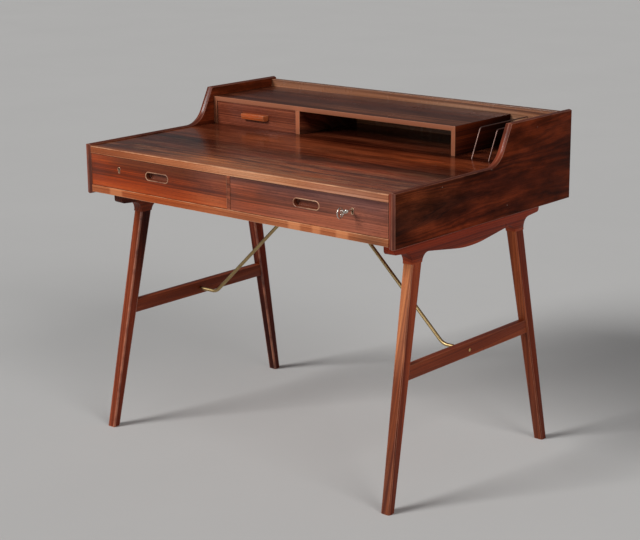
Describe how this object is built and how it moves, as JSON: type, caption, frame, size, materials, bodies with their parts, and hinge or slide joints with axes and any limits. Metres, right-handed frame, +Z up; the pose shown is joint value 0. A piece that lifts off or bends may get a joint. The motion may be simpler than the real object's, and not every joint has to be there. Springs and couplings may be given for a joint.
{
  "type": "writing desk",
  "caption": "Rosewood writing desk with locking drawers, a gallery with a small drawer and letter rack, and splayed leg frames with brass stays.",
  "frame": {"origin": "on the floor, in the middle of the desk's overall box in plan, the key in the right-hand lock included", "axes": "+X to the right as the sitter faces the desk, +Y from the front to the back, +Z up"},
  "size_m": [0.99, 0.756, 0.848],
  "materials": {
    "veneer_side": "satin lacquered rosewood veneer, dark with black streaks",
    "veneer_top": "satin lacquered rosewood veneer, grain along X",
    "veneer_front_left": "satin lacquered rosewood veneer, orange red",
    "veneer_front_right": "satin lacquered rosewood veneer, purplish brown",
    "veneer_gallery": "satin lacquered rosewood veneer",
    "veneer_small_front": "satin lacquered rosewood veneer, reddish brown",
    "veneer_back": "satin lacquered rosewood veneer",
    "solid_lipping": "satin lacquered solid rosewood with sapwood",
    "solid_base": "satin lacquered solid rosewood",
    "solid_trim": "satin lacquered solid rosewood",
    "lining_wood": "matt oiled hardwood",
    "lining_board": "matt oiled plywood",
    "brass": "satin, slightly dulled",
    "key_metal": "polished nickel plate, slightly worn",
    "screw_steel": "plain"
  },
  "bodies": {
    "desk": {"back_panel": "veneer_back", "bottom_board": "veneer_back", "bottom_lipping": "solid_lipping", "case_dowels": "lining_wood", "centre_partition": "solid_trim", "desktop": "veneer_top", "desktop_lipping": "solid_lipping", "drawer_stops": "lining_wood", "gallery_divider": "veneer_gallery", "gallery_left_wall": "veneer_gallery", "gallery_right_wall": "veneer_gallery", "gallery_shelf": "veneer_gallery", "left_front_leg": "solid_base", "left_rail": "solid_base", "left_rear_leg": "solid_base", "left_side_panel": "veneer_side", "left_stay": "brass", "left_stretcher": "solid_base", "letter_wire_inner": "brass", "letter_wire_outer": "brass", "rail_screws": "screw_steel", "right_front_leg": "solid_base", "right_rail": "solid_base", "right_rear_leg": "solid_base", "right_side_panel": "veneer_side", "right_stay": "brass", "right_stretcher": "solid_base", "runner_left_centre": "lining_wood", "runner_left_side": "lining_wood", "runner_right_centre": "lining_wood", "runner_right_side": "lining_wood", "runner_screws": "screw_steel", "stay_end_screws": "brass", "stay_tab_screws": "brass"},
    "left_drawer": {"left_drawer_front": "veneer_front_left", "left_drawer_inner_side": "lining_wood", "left_drawer_outer_side": "lining_wood", "left_drawer_back": "lining_wood", "left_drawer_bottom": "lining_board", "left_pull_cup": "solid_trim", "left_escutcheon": "brass", "left_lock_case": "brass"},
    "right_drawer": {"right_drawer_front": "veneer_front_right", "right_drawer_inner_side": "lining_wood", "right_drawer_outer_side": "lining_wood", "right_drawer_back": "lining_wood", "right_drawer_bottom": "lining_board", "right_pull_cup": "solid_trim", "right_escutcheon": "brass", "right_lock_case": "brass"},
    "gallery_drawer": {"small_drawer_front": "veneer_small_front", "small_drawer_left_side": "lining_wood", "small_drawer_right_side": "lining_wood", "small_drawer_back": "lining_wood", "small_drawer_bottom": "lining_board", "small_drawer_handle": "solid_trim", "handle_screws": "screw_steel"},
    "right_key": {"key": "key_metal"},
    "right_bolt": {"right_lock_bolt": "brass"},
    "left_bolt": {"left_lock_bolt": "brass"}
  },
  "joints": [
    {"name": "left_drawer_slide", "type": "slide", "parent": "desk", "child": "left_drawer", "axis": [0, -1, 0], "range_m": [0, 0.4]},
    {"name": "right_drawer_slide", "type": "slide", "parent": "desk", "child": "right_drawer", "axis": [0, -1, 0], "range_m": [0, 0.4]},
    {"name": "gallery_drawer_slide", "type": "slide", "parent": "desk", "child": "gallery_drawer", "axis": [0, -1, 0], "range_m": [0, 0.16]},
    {"name": "right_key_turn", "type": "hinge", "parent": "right_drawer", "child": "right_key", "pos_m": [0.3755, -0.34, 0.7015], "axis": [0, 1, 0], "range_deg": [0, 180]},
    {"name": "right_bolt_rise", "type": "slide", "parent": "right_drawer", "child": "right_bolt", "axis": [0, 0, 1], "range_m": [0, 0.006]},
    {"name": "left_bolt_rise", "type": "slide", "parent": "left_drawer", "child": "left_bolt", "axis": [0, 0, 1], "range_m": [0, 0.006]}
  ],
  "couplings": [
    {"joint": "right_bolt_rise", "follows": "right_key_turn", "m_per_rad": 0.0019098}
  ]
}
